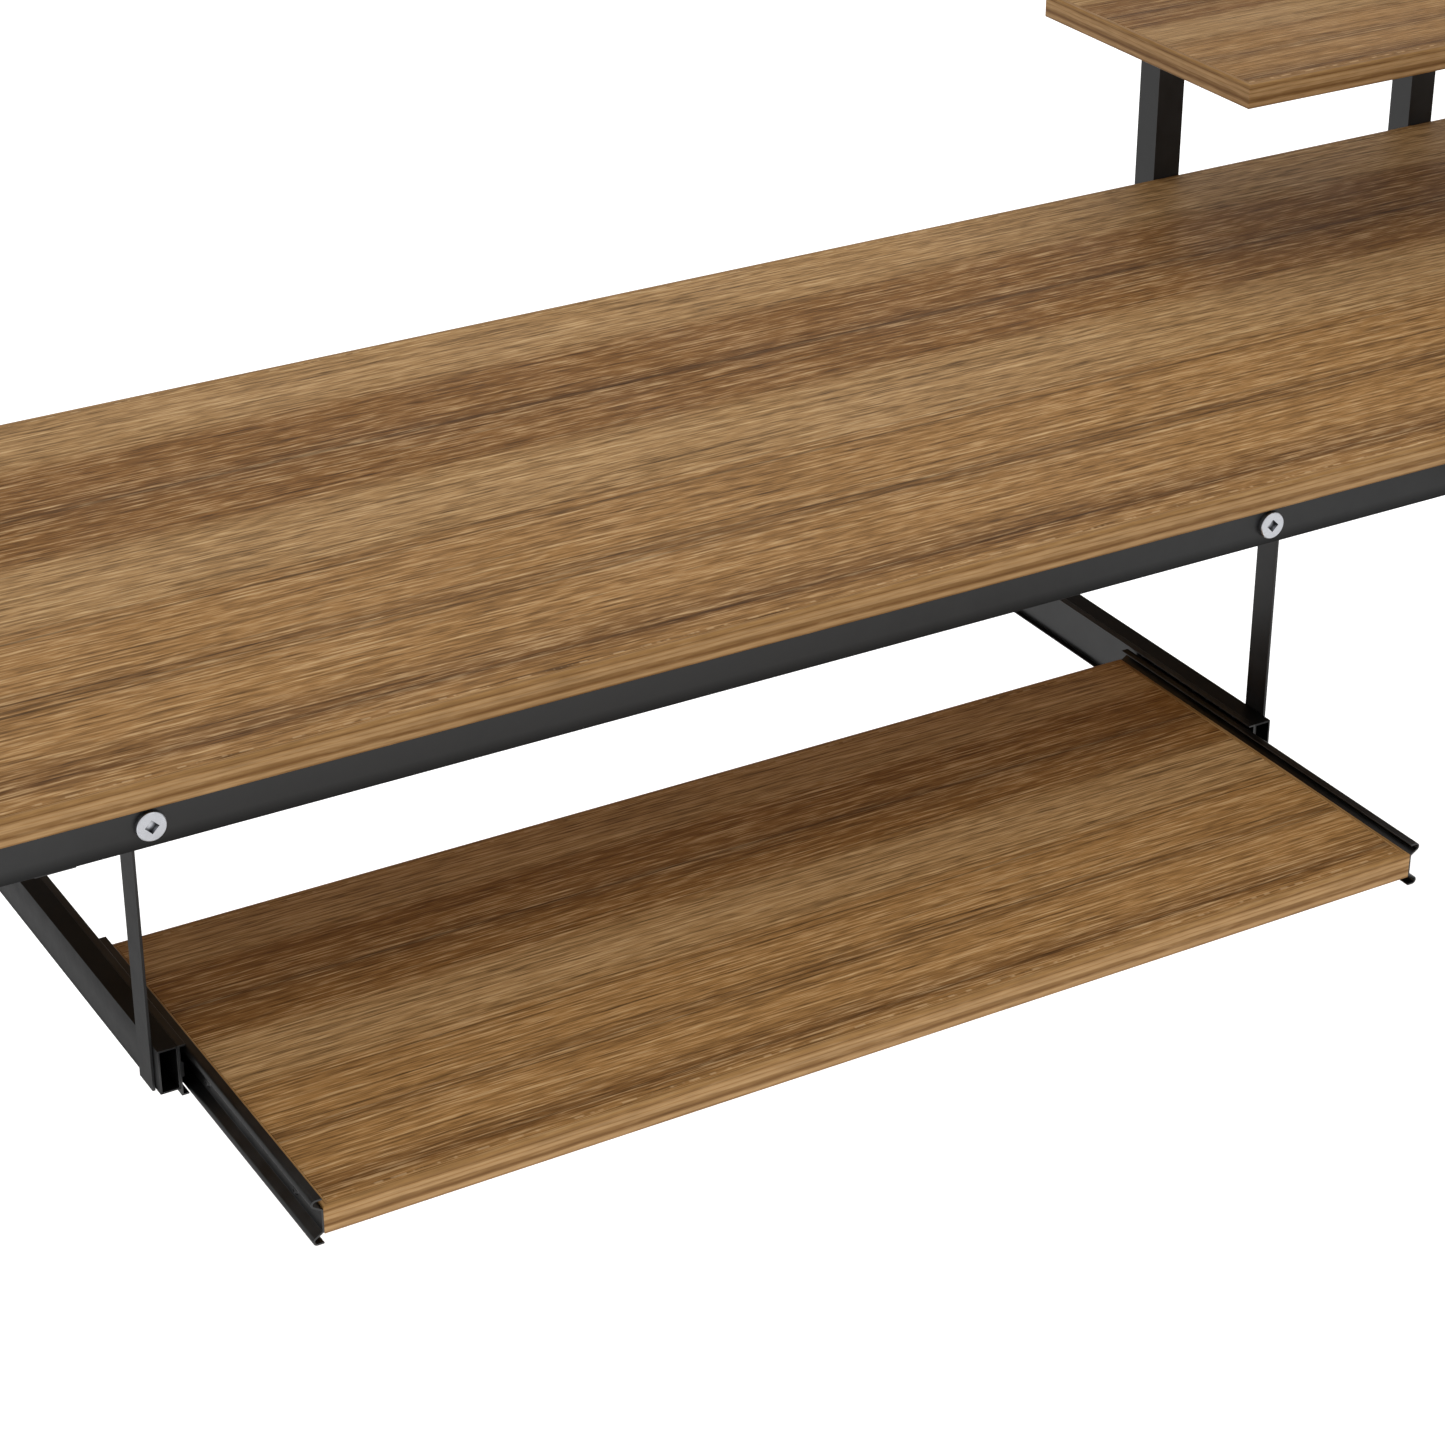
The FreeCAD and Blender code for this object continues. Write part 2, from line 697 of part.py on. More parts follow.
def make_cage(name, side):
    """A flat ball retainer with two rows of notches, and the balls that it carries."""
    half_wall = dim.cage_wall / 2
    x0, x1 = sided(side, dim.ball_out - half_wall, dim.ball_out + half_wall)
    start = rail_face + CAGE_START
    low = (x0, start, tray_middle - dim.cage_rise)
    cage = block(f"{name}_ball_cage", low, (x1, start + dim.cage_length, tray_middle + dim.cage_rise))
    first = start + (dim.cage_length - dim.ball_pitch * (BALLS_PER_ROW - 1)) / 2
    rows = [first + dim.ball_pitch * i for i in range(BALLS_PER_ROW)]
    places = [(y, tray_middle + dim.ball_rise * row) for y in rows for row in (LEFT, RIGHT)]
    drill(cage, low, "x", x0, x1, places, dim.ball / 2 + BALL_PLAY)
    ball_places.append((name, [((tray_x(side, dim.ball_out), y, z), UP) for y, z in places]))


ball_places = []

make_tops()
make_tray()
make_rails()
make_legs()
make_bars()
make_stand()
make_hangers()
make_channels()
make_slides()


# ---------------------------------------------------------------- fasteners and small parts

def bolt(label, head_radius, head_height, length, socket):
    """A flat round-headed bolt, head upwards, with a square socket set as a diamond."""
    radius = dim.bolt / 2
    outline = [(0, -size(length)), (radius, -size(length)), (radius, 0), (head_radius, 0),
               (head_radius, size(head_height) - BOLT_EDGE), (size(head_radius) - BOLT_EDGE, head_height),
               (0, head_height)]
    body = turned(label, outline)
    corner = size(socket) / math.sqrt(2)
    diamond = [(corner, 0), (0, corner), (-corner, 0), (0, -corner)]
    layer(body, "Pocket", "z", size(head_height) * 0.2, head_height, [diamond])
    return body


def screw(label, head_radius, head_height, length):
    """A wood screw with a low cone head and a cross recess."""
    radius = dim.wood_screw / 2
    outline = [(0, -size(length)), (radius, -size(length)), (radius, 0), (head_radius, 0),
               (size(head_radius) * 0.6, head_height), (0, head_height)]
    body = turned(label, outline)
    arm, half = size(head_radius) * 0.45, RECESS_HALF
    recess = [(-arm, -half), (-half, -half), (-half, -arm), (half, -arm), (half, -half), (arm, -half),
              (arm, half), (half, half), (half, arm), (-half, arm), (-half, half), (-arm, half)]
    layer(body, "Pocket", "z", size(head_height) * 0.4, head_height, [recess])
    return body


def hex_nut(label):
    body = new_body(label, kept=False)
    turns = [math.radians(60 * i) for i in range(6)]
    corners = [(NUT_CORNER * math.cos(turn), NUT_CORNER * math.sin(turn)) for turn in turns]
    layer(body, "Pad", "z", 0, NUT_HEIGHT, [corners], [(0, 0, dim.bolt / 2)])
    return body


def glide():
    """A plastic foot: a pad as wide as the leg, chamfered by a step, and a plug inside it."""
    body = new_body("glide_pattern", kept=False)
    full = dim.tube / 2
    plug = full - dim.tube_wall - PLUG_PLAY
    pad = full - GLIDE_STEP
    layer(body, "Pad", "z", 0, dim.glide / 2, [box_outline(-pad, -pad, pad, pad)])
    layer(body, "Pad", "z", dim.glide / 2, dim.glide, [box_outline(-full, -full, full, full)])
    layer(body, "Pad", "z", dim.glide, dim.glide + GLIDE_PLUG, [box_outline(-plug, -plug, plug, plug)])
    return body


def tube_plug():
    """A plastic plug for an open tube end, its cover upwards."""
    body = new_body("plug_pattern", kept=False)
    full = dim.tube / 2
    plug = full - dim.tube_wall - PLUG_PLAY
    layer(body, "Pad", "z", 0, PLUG_COVER, [box_outline(-full, -full, full, full)])
    layer(body, "Pad", "z", -PLUG_LENGTH, 0, [box_outline(-plug, -plug, plug, plug)])
    return body


def seam_bracket():
    """A short angle: one leg against the front rail, the other under the return top."""
    body = new_body("bracket_pattern", kept=False)
    wall, full = dim.angle_wall, dim.tube
    outline = [(-full, full - wall), (-wall, full - wall), (-wall, 0), (0, 0), (0, full), (-full, full)]
    layer(body, "Pad", "x", -BRACKET_HALF, BRACKET_HALF, [outline])
    screw_y = dim.overhang + SCREW_LINE
    layer(body, "Pocket", "z", full - wall, full, discs=[(0, -screw_y, dim.wood_screw / 2)])
    layer(body, "Pocket", "y", -wall, 0, discs=[(0, bolt_height - rail_bottom, dim.bolt / 2)])
    return body


def end_buffer():
    """A rubber block that the tray's slide member meets when the tray is pushed in."""
    body = new_body("buffer_pattern", kept=False)
    outline = box_outline(-BUFFER_HALF, -BUFFER_RISE, BUFFER_HALF, BUFFER_RISE)
    layer(body, "Pad", "z", 0, dim.buffer_length, [outline])
    return body


hanger_bolt = bolt("hanger_bolt_pattern", dim.bolt_head / 2, dim.bolt_head_height,
                   HANGER_BOLT_LENGTH, dim.bolt_socket)
frame_bolt = bolt("frame_bolt_pattern", *FRAME_BOLT_HEAD, FRAME_BOLT_LENGTH, FRAME_BOLT_SOCKET)
nut = hex_nut("nut_pattern")
panel_screw = screw("panel_screw_pattern", *SCREW_HEAD, dim.angle_wall + PANEL_SCREW_DEPTH)
bar_screw = screw("bar_screw_pattern", *SCREW_HEAD, dim.tube + PANEL_SCREW_DEPTH)
tray_screw = screw("tray_screw_pattern", *TRAY_SCREW_HEAD, dim.slide_wall + TRAY_SCREW_LENGTH)
rivet_grip = dim.slide_wall + dim.channel_wall
rivet_radius = dim.rivet / 2
rivet_tail, rivet_end = RIVET_TAIL[0], -rivet_grip - RIVET_TAIL[1]
rivet_head, rivet_top = RIVET_HEAD
rivet = turned("rivet_pattern", [(0, rivet_end), (rivet_tail, rivet_end), (rivet_tail, -rivet_grip),
                                 (rivet_radius, -rivet_grip), (rivet_radius, 0), (rivet_head, 0),
                                 (RIVET_CROWN, rivet_top), (0, rivet_top)])
foot_glide = glide()
plug = tube_plug()
bracket = seam_bracket()
buffer_pad = end_buffer()
steel_ball = doc.addObject("Part::Sphere", "ball_pattern")
bind(steel_ball, "Radius", dim.ball / 2)
doc.recompute()

nut_back = rail_face + dim.hanger_setback + dim.hanger_wall + NUT_HEIGHT
group("hanger_bolts", hanger_bolt, [((x, rail_face, bolt_height), FRONTWARDS) for x in hanger_bolt_xs])
group("hanger_nuts", nut, [((x, nut_back, bolt_height), FRONTWARDS) for x in hanger_bolt_xs])

frame_bolt_places = [
    ((frame_left + half_tube, rail_face, bolt_height), FRONTWARDS),
    ((frame_left + half_tube, rear_edge, bolt_height), BACKWARDS),
    ((frame_right - half_tube, rear_edge, bolt_height), BACKWARDS),
    ((inner_wall, frame_front + half_tube, bolt_height), LEFTWARDS),
] + [((x, rail_face - dim.angle_wall, bolt_height), FRONTWARDS) for x in bracket_xs]
group("frame_bolts", frame_bolt, frame_bolt_places)
post_bolt_y = rear_edge - dim.angle_wall
group("post_bolts", frame_bolt, [((x, post_bolt_y, bolt_height), FRONTWARDS) for x in post_centres])

flange_screws = front_screws + rear_screws + inner_screws + bracket_screws
group("panel_screws", panel_screw, [((x, y, flange_bottom), DOWN) for x, y in flange_screws])
bar_screw_places = left_bar_screws + right_bar_screws + return_side_screws + return_front_screws
group("bar_screws", bar_screw, [((x, y, rail_bottom), DOWN) for x, y in bar_screw_places])
group("shelf_screws", bar_screw, [((x, y, arm_bottom), DOWN) for x, y in arm_screws])
group("rear_hanger_screws", panel_screw, [((x, y, flange_bottom), DOWN) for x, y in hanger_screws])

inward = {LEFT: RIGHTWARDS, RIGHT: LEFTWARDS}
outward = {LEFT: LEFTWARDS, RIGHT: RIGHTWARDS}
rivet_out = dim.channel_out - dim.slide_wall
group("slide_rivets", rivet, [((tray_x(side, rivet_out), y, tray_middle), inward[side])
                              for side in (LEFT, RIGHT) for y in rivet_ys])
group("tray_screws", tray_screw, [((tray_x(side, dim.slide_wall), y, tray_middle), outward[side])
                                  for side in (LEFT, RIGHT) for y in tray_screw_ys])
buffer_out = rivet_out - BUFFER_HALF
buffer_start = slide_rear - BUFFER_INSET
group("slide_buffers", buffer_pad, [((tray_x(side, buffer_out), buffer_start, tray_middle), BACKWARDS)
                                    for side in (LEFT, RIGHT)])

for name, places in ball_places:
    group(f"{name}_balls", steel_ball, places)

leg_xs = (frame_left + half_tube, frame_right - half_tube)
leg_ys = (leg_front + half_tube, leg_rear - half_tube)
feet = [(x, y) for x in leg_xs for y in leg_ys]
feet += [(x, frame_front + half_tube) for x in (inner_leg + half_tube, frame_right - half_tube)]
group("foot_glides", foot_glide, [((x, y, 0), UP) for x, y in feet])
plug_places = [((x, rear_edge + half_tube, dim.post_bottom), DOWN) for x in post_centres]
plug_places += [((x, rear_edge - dim.arm_length, arm_bottom + half_tube), FRONTWARDS) for x in post_centres]
group("tube_plugs", plug, plug_places)
group("seam_brackets", bracket, [((x, rail_face, rail_bottom), UP) for x in bracket_xs])


# ---------------------------------------------------------------- checks and export

for thing in doc.Objects:
    if "Invalid" in thing.State or "Error" in thing.State:
        raise RuntimeError(f"{thing.Label} failed: {thing.State}")
for part in parts:
    if part.Shape.isNull() or not part.Shape.isValid():
        raise RuntimeError(f"{part.Label} has no valid shape")

os.makedirs("parts", exist_ok=True)
for part in parts:
    part.Shape.exportStep(f"parts/{part.Label}.step")
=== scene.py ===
import math

import bpy
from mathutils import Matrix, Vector


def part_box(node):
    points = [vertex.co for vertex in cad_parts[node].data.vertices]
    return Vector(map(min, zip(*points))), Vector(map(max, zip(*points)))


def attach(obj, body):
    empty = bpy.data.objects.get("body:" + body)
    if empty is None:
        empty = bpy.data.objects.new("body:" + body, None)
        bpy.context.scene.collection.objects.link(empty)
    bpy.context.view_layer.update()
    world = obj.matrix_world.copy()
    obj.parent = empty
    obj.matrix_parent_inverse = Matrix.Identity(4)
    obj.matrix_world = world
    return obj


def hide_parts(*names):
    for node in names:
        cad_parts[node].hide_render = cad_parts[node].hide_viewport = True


# Corner desk: walnut-print boards with wrapped edges on a black steel frame, with a keyboard
# tray on ball slides and a raised shelf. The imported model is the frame. The boards and their
# edge bands are built here as better meshes, and every other part keeps its own shape.

MM = 0.001

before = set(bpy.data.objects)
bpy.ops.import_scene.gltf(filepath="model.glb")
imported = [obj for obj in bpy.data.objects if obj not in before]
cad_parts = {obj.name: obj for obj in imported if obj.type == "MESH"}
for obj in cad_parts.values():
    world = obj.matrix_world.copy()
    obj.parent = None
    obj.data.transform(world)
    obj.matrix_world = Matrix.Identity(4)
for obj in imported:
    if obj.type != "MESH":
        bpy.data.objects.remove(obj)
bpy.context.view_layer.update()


# ---------------------------------------------------------------- camera, floor, light

# From the point over the tray's middle, at the front rail's face and the main top's height.
CAMERA_OFFSET = Vector((-1.0183, -1.711, 1.0))
CAMERA_TILT = math.radians(61.729)
CAMERA_TURN = math.radians(-30.21)
CAMERA_LENS = 90.58
SENSOR = 36.0

SOFTBOX_PLACE = Vector((0.3, -0.6, 3.2))
SOFTBOX_AIM = Vector((0, 0.1, 0.7))
SOFTBOX_SIZE = 2.4
SOFTBOX_POWER = 9
SKY_STRENGTH = 1.0
FLOOR_HALF = 30.0
FLOOR_GLOW = 0.50
WHITE = (1, 1, 1, 1)


def link(thing):
    bpy.context.scene.collection.objects.link(thing)
    return thing


def make_camera():
    """Stands in front of the long wing, to the left of the tray, and looks down across it."""
    tray_low, tray_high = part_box("keyboard_tray_edge")
    rail_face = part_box("front_rail")[0].y
    desk_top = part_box("main_top_edge")[1].z
    data = bpy.data.cameras.new("camera")
    data.lens = CAMERA_LENS
    data.sensor_width = SENSOR
    camera = link(bpy.data.objects.new("camera", data))
    target = Vector(((tray_low.x + tray_high.x) / 2, rail_face, desk_top))
    camera.location = target + CAMERA_OFFSET
    camera.rotation_euler = (CAMERA_TILT, 0, CAMERA_TURN)
    bpy.context.scene.camera = camera


def make_softbox():
    data = bpy.data.lights.new("softbox", "AREA")
    data.shape = "DISK"
    data.size = SOFTBOX_SIZE
    data.energy = SOFTBOX_POWER
    light = link(bpy.data.objects.new("softbox", data))
    light.location = SOFTBOX_PLACE
    light.rotation_euler = (SOFTBOX_AIM - SOFTBOX_PLACE).to_track_quat("-Z", "Y").to_euler()


def make_sky():
    world = bpy.data.worlds.new("studio")
    world.use_nodes = True
    sky = world.node_tree.nodes["Background"]
    sky.inputs["Color"].default_value = WHITE
    sky.inputs["Strength"].default_value = SKY_STRENGTH
    bpy.context.scene.world = world


# ---------------------------------------------------------------- node trees

def shade(red, green, blue):
    """A colour given in 0-255 display steps, as linear light."""
    steps = [c / 255 for c in (red, green, blue)]
    return tuple(((c + 0.055) / 1.055) ** 2.4 if c > 0.04 else c / 12.92 for c in steps) + (1.0,)


def scaled(colour, factor):
    return shade(*[c * factor for c in colour])


class Tree:
    """Adds nodes to one material. An input is a number, a colour, or another node's output."""

    def __init__(self, name):
        self.material = bpy.data.materials.new(name)
        self.material.use_nodes = True
        self.nodes = self.material.node_tree.nodes
        self.shader = self.nodes["Principled BSDF"]

    def feed(self, socket, value):
        if isinstance(value, bpy.types.NodeSocket):
            self.material.node_tree.links.new(value, socket)
        else:
            socket.default_value = value

    def add(self, kind, inputs, **settings):
        node = self.nodes.new(kind)
        for key, value in settings.items():
            setattr(node, key, value)
        for key, value in inputs.items():
            self.feed(node.inputs[key], value)
        return node

    def math(self, operation, *values):
        return self.add("ShaderNodeMath", dict(enumerate(values)), operation=operation).outputs[0]

    def times(self, first, second):
        return self.math("MULTIPLY", first, second)

    def plus(self, first, second):
        return self.math("ADD", first, second)

    def minus(self, first, second):
        return self.math("SUBTRACT", first, second)

    def lesser(self, first, second):
        return self.math("MINIMUM", first, second)

    def scale_and_add(self, value, factor, added):
        return self.math("MULTIPLY_ADD", value, factor, added)

    def position(self):
        """The piece's own coordinates in metres, which stay on it as it moves."""
        return self.add("ShaderNodeTexCoord", {}).outputs["Object"]

    def axes(self, vector):
        return self.add("ShaderNodeSeparateXYZ", {0: vector}).outputs

    def vector(self, x, y, z):
        return self.add("ShaderNodeCombineXYZ", {0: x, 1: y, 2: z}).outputs[0]

    def noise(self, vector, scale, detail=2.0, roughness=0.5):
        inputs = {"Vector": vector, "Scale": scale, "Detail": detail, "Roughness": roughness}
        return self.add("ShaderNodeTexNoise", inputs).outputs[0]

    def remap(self, value, low, high, new_low, new_high):
        """Takes low..high to new_low..new_high and holds it there."""
        inputs = {"Value": value, "From Min": low, "From Max": high,
                  "To Min": new_low, "To Max": new_high}
        return self.add("ShaderNodeMapRange", inputs).outputs[0]

    def spread(self, noise, new_low, new_high):
        """Stretches the middle of a noise, where nearly all of it lies, over a new range."""
        return self.remap(noise, 0.3, 0.7, new_low, new_high)

    def ramp(self, value, stops):
        node = self.add("ShaderNodeValToRGB", {0: value})
        band = node.color_ramp
        band.elements[0].position, band.elements[0].color = stops[0]
        band.elements[1].position, band.elements[1].color = stops[-1]
        for place, colour in stops[1:-1]:
            band.elements.new(place).color = colour
        return node.outputs[0]

    def mix(self, amount, first, second, blend="MIX"):
        node = self.add("ShaderNodeMix", {0: amount, 6: first, 7: second},
                        data_type="RGBA", blend_type=blend)
        return node.outputs[2]

    def tint(self, colour, factor):
        """colour times a grey factor."""
        return self.mix(1.0, colour, self.vector(factor, factor, factor), "MULTIPLY")

    def bump(self, height, distance, strength):
        inputs = {"Height": height, "Distance": distance, "Strength": strength}
        return self.add("ShaderNodeBump", inputs).outputs[0]

    def finish(self, colour, roughness, normal, **constants):
        for name, value in (("Base Color", colour), ("Roughness", roughness), ("Normal", normal)):
            self.feed(self.shader.inputs[name], value)
        for name, value in constants.items():
            self.shader.inputs[name.replace("_", " ")].default_value = value
        return self.material


# ---------------------------------------------------------------- wood

PALE = (162, 125, 80)
SAND = (157, 120, 75)
HONEY = (154, 113, 65)
RUST = (146, 106, 60)
CHESTNUT = (132, 94, 52)
UMBER = (129, 88, 43)
COCOA = (114, 77, 38)
PALE_FIBRE = (216, 182, 134)
DARK_FIBRE = (48, 28, 12)
NICK = (196, 164, 122)

# The printed figure, from a board's front edge (0) to its back (1).
FIGURE = [
    (0.00, RUST), (0.03, RUST), (0.05, COCOA), (0.08, CHESTNUT), (0.12, HONEY), (0.18, HONEY),
    (0.21, RUST), (0.24, CHESTNUT), (0.27, HONEY), (0.35, HONEY), (0.40, RUST), (0.43, SAND),
    (0.50, PALE), (0.56, SAND), (0.60, UMBER), (0.66, UMBER), (0.71, COCOA), (0.75, UMBER),
    (0.83, UMBER), (0.87, SAND), (0.93, PALE), (1.00, SAND),
]
# The depth of board that the figure was drawn for. It is squeezed on a shallower board.
FIGURE_DEPTH = 0.52
# Thin dark veins: place in the figure, half width, darkness.
VEINS = [
    (0.054, 0.0050, 0.50), (0.216, 0.0030, 0.90), (0.229, 0.0030, 1.00), (0.243, 0.0030, 1.00),
    (0.262, 0.0025, 0.60), (0.306, 0.0022, 0.50), (0.388, 0.0030, 0.90), (0.412, 0.0022, 0.60),
    (0.708, 0.0050, 0.60), (0.598, 0.0025, 0.50), (0.662, 0.0025, 0.50), (0.520, 0.0020, 0.40),
]
VEIN_DEPTH = 0.58

# Noises drawn out along the grain: waves per metre along and across, detail, roughness, and a
# step from the board's own seed.
STREAKS = (1.6, 95, 5.0, 0.7, 0)
FIBRES = (9, 350, 3.0, 0.7, 11)
DASHES = (50, 500, 2.0, 0.6, 23)
PORES = (36, 560, 1.0, 0.5, 31)
PORE_CROWDS = (2.5, 26, 2.0, 0.5, 53)
VEIN_BREAKS = (2.2, 14, 3.0, 0.6, 0)
SLOW_WANDER = (1.1, 9, 2.0, 0.5, 0)
QUICK_WANDER = (5, 30, 3.0, 0.5, 3)
EDGE_WANDER = (6, 90, 3.0, 0.5, 0)
# The vein breaks use one seed on every board.
VEIN_SEED = 7.0
# A seed moves a noise along the grain, and by this part of itself along the third axis.
SEED_RISE = 0.37
# The values of a noise between which its mark fades in.
PORE_FADE = (0.54, 0.66)
CROWD_FADE = (0.35, 0.65)
BREAK_FADE = (0.34, 0.56)
NICK_RUN_FADE = (0.50, 0.56)
# How much of each noise makes up the fibres. The shares add up to 1.
STREAK_SHARE = 0.16
FIBRE_SHARE = 0.46
DASH_SHARE = 0.38
# The mixed noise leaves the print as it is at the first value, and is palest and darkest at
# the other two.
FIBRE_NEUTRAL = 0.505
FIBRE_PALEST = 0.65
FIBRE_DARKEST = 0.36
PALE_AMOUNT = 0.66
DARK_AMOUNT = 0.76
PORE_AMOUNT = 0.42
# How faint a pore gets where the pores are sparse, and a vein where it breaks.
SPARSE_PORE = 0.4
BROKEN_VEIN = 0.3
# How far the figure wanders, as a part of the board's depth.
SLOW_SHIFT = 0.012
QUICK_SHIFT = 0.022

# A broken pale line, where the saw nicked the print, along the two edges that follow the grain.
NICK_INSET = 6.4 * MM
NICK_CORE = 0.6 * MM
NICK_FADE = 1.1 * MM
NICK_WAVES = 95
NICK_AMOUNT = 0.45

EDGE_PALE = (167, 132, 90)
EDGE_MID = (150, 113, 68)
EDGE_DEEP = (137, 102, 62)
EDGE_LINE = (114, 80, 45)

# The wrapped edge in millimetres, from 4 mm in on the top (-4) round to the underside (18).
EDGE_STRIPES = [
    (-4.0, EDGE_MID), (-3.0, EDGE_MID), (-2.5, EDGE_LINE), (-2.0, EDGE_MID), (1.0, EDGE_MID),
    (2.4, EDGE_DEEP), (3.0, EDGE_LINE), (3.5, EDGE_MID), (4.8, EDGE_PALE), (6.0, EDGE_PALE),
    (6.6, EDGE_MID), (7.2, EDGE_PALE), (8.8, EDGE_PALE), (9.6, EDGE_DEEP), (11.0, EDGE_DEEP),
    (12.4, EDGE_LINE), (13.5, EDGE_DEEP), (14.3, EDGE_PALE), (16.2, EDGE_PALE),
    (17.2, EDGE_DEEP), (18.0, EDGE_LINE),
]
BAND_WIDTH = 4 * MM
BOARD = 18 * MM
EDGE_SHIFT = 0.6 * MM
EDGE_FIBRE_STRENGTH = 0.35

WOOD_GAIN = 0.94
SHELF_GAIN = 0.82
TRAY_GAIN = 0.98
WOOD_SPECULAR = 0.07
PRINT_ROUGHNESS = (0.52, 0.62)
PRINT_PORE_ROUGHNESS = 0.12
PRINT_RELIEF = 0.06 * MM
EDGE_ROUGHNESS = 0.46
EDGE_PORE_ROUGHNESS = 0.10
EDGE_RELIEF = 0.05 * MM


def printed(tree, along, across, kind, seed):
    """One of the noises drawn out along the grain."""
    waves_along, waves_across, detail, roughness, step = kind
    start = seed + step
    place = tree.vector(tree.scale_and_add(along, waves_along, start),
                        tree.times(across, waves_across), start * SEED_RISE)
    return tree.noise(place, 1.0, detail, roughness)


def fibres(tree, colour, along, across, seed, strength):
    """Lays pale and dark fibres and short dark pores over a base colour."""
    streaks = printed(tree, along, across, STREAKS, seed)
    fine = printed(tree, along, across, FIBRES, seed)
    dashes = printed(tree, along, across, DASHES, seed)
    pores = printed(tree, along, across, PORES, seed)
    crowds = printed(tree, along, across, PORE_CROWDS, seed)
    pore_mask = tree.times(tree.remap(pores, *PORE_FADE, 0, 1),
                           tree.remap(crowds, *CROWD_FADE, SPARSE_PORE, 1.0))
    dash_part = tree.times(dashes, DASH_SHARE)
    mixed = tree.plus(tree.times(streaks, STREAK_SHARE),
                      tree.scale_and_add(fine, FIBRE_SHARE, dash_part))
    pale = tree.remap(mixed, FIBRE_NEUTRAL, FIBRE_PALEST, 0, PALE_AMOUNT * strength)
    dark = tree.remap(mixed, FIBRE_NEUTRAL, FIBRE_DARKEST, 0, DARK_AMOUNT * strength)
    pored = tree.times(pore_mask, PORE_AMOUNT * strength)
    colour = tree.mix(pale, colour, shade(*PALE_FIBRE))
    colour = tree.mix(dark, colour, shade(*DARK_FIBRE))
    colour = tree.mix(pored, colour, shade(*DARK_FIBRE))
    height = tree.minus(tree.times(fine, 0.5), pore_mask)
    return colour, height, pore_mask


def vein_mask(tree, across, along):
    """Thin lines that fade in and out along the board."""
    total = 0.0
    for place, half, dark in VEINS:
        away = tree.math("ABSOLUTE", tree.minus(across, place))
        total = tree.plus(tree.remap(away, half * 0.4, half, dark, 0), total)
    breaks = printed(tree, along, across, VEIN_BREAKS, VEIN_SEED)
    return tree.times(total, tree.remap(breaks, *BREAK_FADE, BROKEN_VEIN, 1.0))


def insets(tree, x, y, low, high):
    """How far a place is in from the nearer left or right side, and from the nearer end."""
    from_side = tree.lesser(tree.minus(x, low.x), tree.minus(high.x, x))
    from_end = tree.lesser(tree.minus(y, low.y), tree.minus(high.y, y))
    return from_side, from_end


def nicks(tree, colour, inset, along, seed):
    """Lays the broken pale line over a colour, just in from the edges that follow the grain."""
    away = tree.math("ABSOLUTE", tree.minus(inset, NICK_INSET))
    line = tree.remap(away, NICK_CORE, NICK_FADE, 1, 0)
    run = tree.remap(tree.noise(tree.vector(along, 0, seed), NICK_WAVES), *NICK_RUN_FADE, 0, 1)
    return tree.mix(tree.times(tree.times(line, run), NICK_AMOUNT), colour, shade(*NICK))


def walnut(name, low, high, grain, seed, gain):
    """Walnut print on a board's flat faces. The figure is scaled to the board's depth."""
    tree = Tree(name)
    place = tree.position()
    x, y = tree.axes(place)[:2]
    from_side, from_end = insets(tree, x, y, low, high)
    if grain == "X":
        along, side, start, depth, inset = x, y, low.y, high.y - low.y, from_end
    else:
        along, side, start, depth, inset = y, x, low.x, high.x - low.x, from_side
    across = tree.math("DIVIDE", tree.minus(side, start), depth)
    metres = tree.times(across, FIGURE_DEPTH)
    slow = tree.minus(printed(tree, along, metres, SLOW_WANDER, seed), 0.5)
    quick = tree.minus(printed(tree, along, metres, QUICK_WANDER, seed), 0.5)
    veined = tree.scale_and_add(slow, SLOW_SHIFT, across)
    warped = tree.scale_and_add(quick, QUICK_SHIFT, veined)
    figure = tree.ramp(warped, [(share, shade(*tone)) for share, tone in FIGURE])
    colour, height, pores = fibres(tree, figure, along, metres, seed, 1.0)
    veins = vein_mask(tree, veined, along)
    colour = tree.tint(colour, tree.scale_and_add(veins, -VEIN_DEPTH * gain, gain))
    colour = nicks(tree, colour, inset, along, seed)
    cloud = tree.spread(tree.noise(place, 14, 3), *PRINT_ROUGHNESS)
    rough = tree.plus(tree.times(pores, PRINT_PORE_ROUGHNESS), cloud)
    return tree.finish(colour, rough, tree.bump(height, PRINT_RELIEF, 0.8),
                       Specular_IOR_Level=WOOD_SPECULAR)


